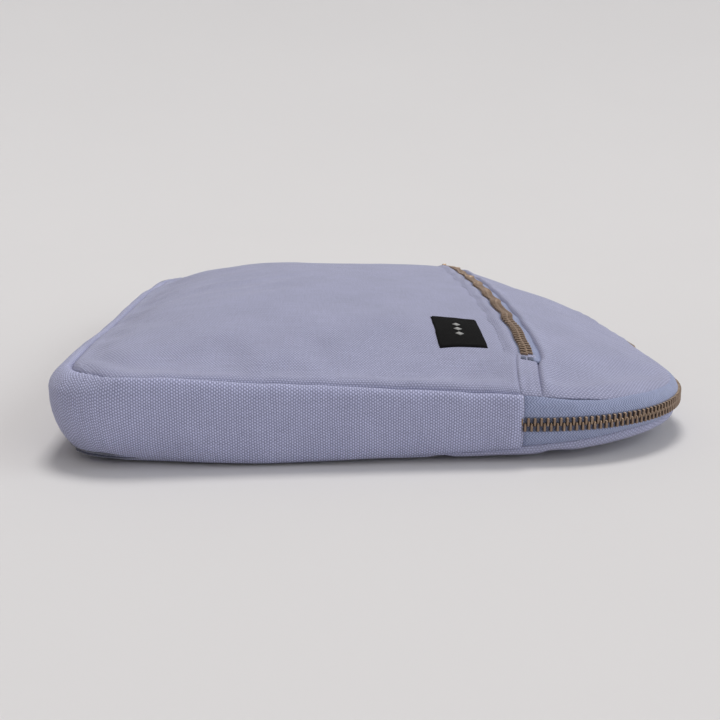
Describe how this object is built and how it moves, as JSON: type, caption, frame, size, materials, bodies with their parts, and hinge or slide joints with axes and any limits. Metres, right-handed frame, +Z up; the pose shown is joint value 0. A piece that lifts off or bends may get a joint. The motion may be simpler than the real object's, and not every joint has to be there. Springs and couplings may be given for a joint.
{
  "type": "laptop sleeve",
  "caption": "Padded canvas laptop sleeve with a metal zip round its mouth, a zipped front pocket and a small woven label.",
  "frame": {"origin": "under the middle of the whole model, on the surface that the sleeve lies on", "axes": "+Y along the long direction, +X towards the mouth that the main zip closes, +Z up out of the front"},
  "size_m": [0.2776, 0.3354, 0.0539],
  "materials": {
    "canvas": "plain-weave duck canvas, lavender grey, matt",
    "zip_tape": "woven zip tape, slightly bluer than the canvas",
    "lining": "smooth plain lining cloth, dark grey blue",
    "foam": "thin open padding foam, bonded between canvas and lining",
    "antique_brass": "antique brass, brown with brighter rubbed edges",
    "label": "black woven label with a grey woven motif"
  },
  "bodies": {
    "sleeve": {"back_panel": "canvas", "foam_back": "foam", "lining_back": "lining", "side_gusset": "canvas", "foam_gusset": "foam", "lining_gusset": "lining", "pocket_front": "canvas", "pocket_back": "lining", "foam_front": "foam", "lining_front": "lining", "main_zip_tape_lower": "zip_tape", "main_zip_teeth_lower": "antique_brass", "main_zip_stop_near": "antique_brass", "main_zip_stop_far": "antique_brass", "woven_label": "label"},
    "flap": {"upper_front_panel": "canvas", "foam_flap": "foam", "lining_flap": "lining", "main_zip_teeth_upper": "antique_brass", "main_zip_tape_upper": "zip_tape", "pocket_zip_tape_inner": "zip_tape", "pocket_zip_teeth_inner": "antique_brass", "pocket_zip_teeth_outer": "antique_brass", "pocket_zip_tape_outer": "zip_tape", "pocket_zip_tab_near": "canvas", "pocket_zip_tab_far": "canvas"},
    "main_near_slider": {"main_near_slider_body": "antique_brass", "main_near_slider_bail": "antique_brass"},
    "main_near_pull": {"main_near_pull_tab": "antique_brass"},
    "main_far_slider": {"main_far_slider_body": "antique_brass", "main_far_slider_bail": "antique_brass"},
    "main_far_pull": {"main_far_pull_tab": "antique_brass"},
    "pocket_slider": {"pocket_slider_body": "antique_brass", "pocket_slider_bail": "antique_brass"},
    "pocket_pull": {"pocket_pull_tab": "antique_brass"}
  },
  "joints": [
    {"name": "flap_fold", "type": "hinge", "parent": "sleeve", "child": "flap", "pos_m": [0.05017, 0, 0.0502], "axis": [0, -1, 0], "range_deg": [0, 35]},
    {"name": "main_near_slide", "type": "slide", "parent": "flap", "child": "main_near_slider", "axis": [0, -1, 0], "range_m": [0, 0.08]},
    {"name": "main_far_slide", "type": "slide", "parent": "flap", "child": "main_far_slider", "axis": [0, 1, 0], "range_m": [0, 0.08]},
    {"name": "main_near_pull_swing", "type": "hinge", "parent": "main_near_slider", "child": "main_near_pull", "pos_m": [0.13623, -0.0065, 0.0156], "axis": [0, 0, 1], "range_deg": [0, 150]},
    {"name": "main_far_pull_swing", "type": "hinge", "parent": "main_far_slider", "child": "main_far_pull", "pos_m": [0.13623, 0.0065, 0.0156], "axis": [0, 0, -1], "range_deg": [0, 150]},
    {"name": "pocket_slide", "type": "hinge", "parent": "flap", "child": "pocket_slider", "pos_m": [0.05708, 0, -0.64529], "axis": [1, 0, 0], "range_deg": [0, 21.5]},
    {"name": "pocket_pull_swing", "type": "hinge", "parent": "pocket_slider", "child": "pocket_pull", "pos_m": [0.05708, 0.13081, 0.04094], "axis": [1, 0, 0], "range_deg": [0, 170]}
  ]
}
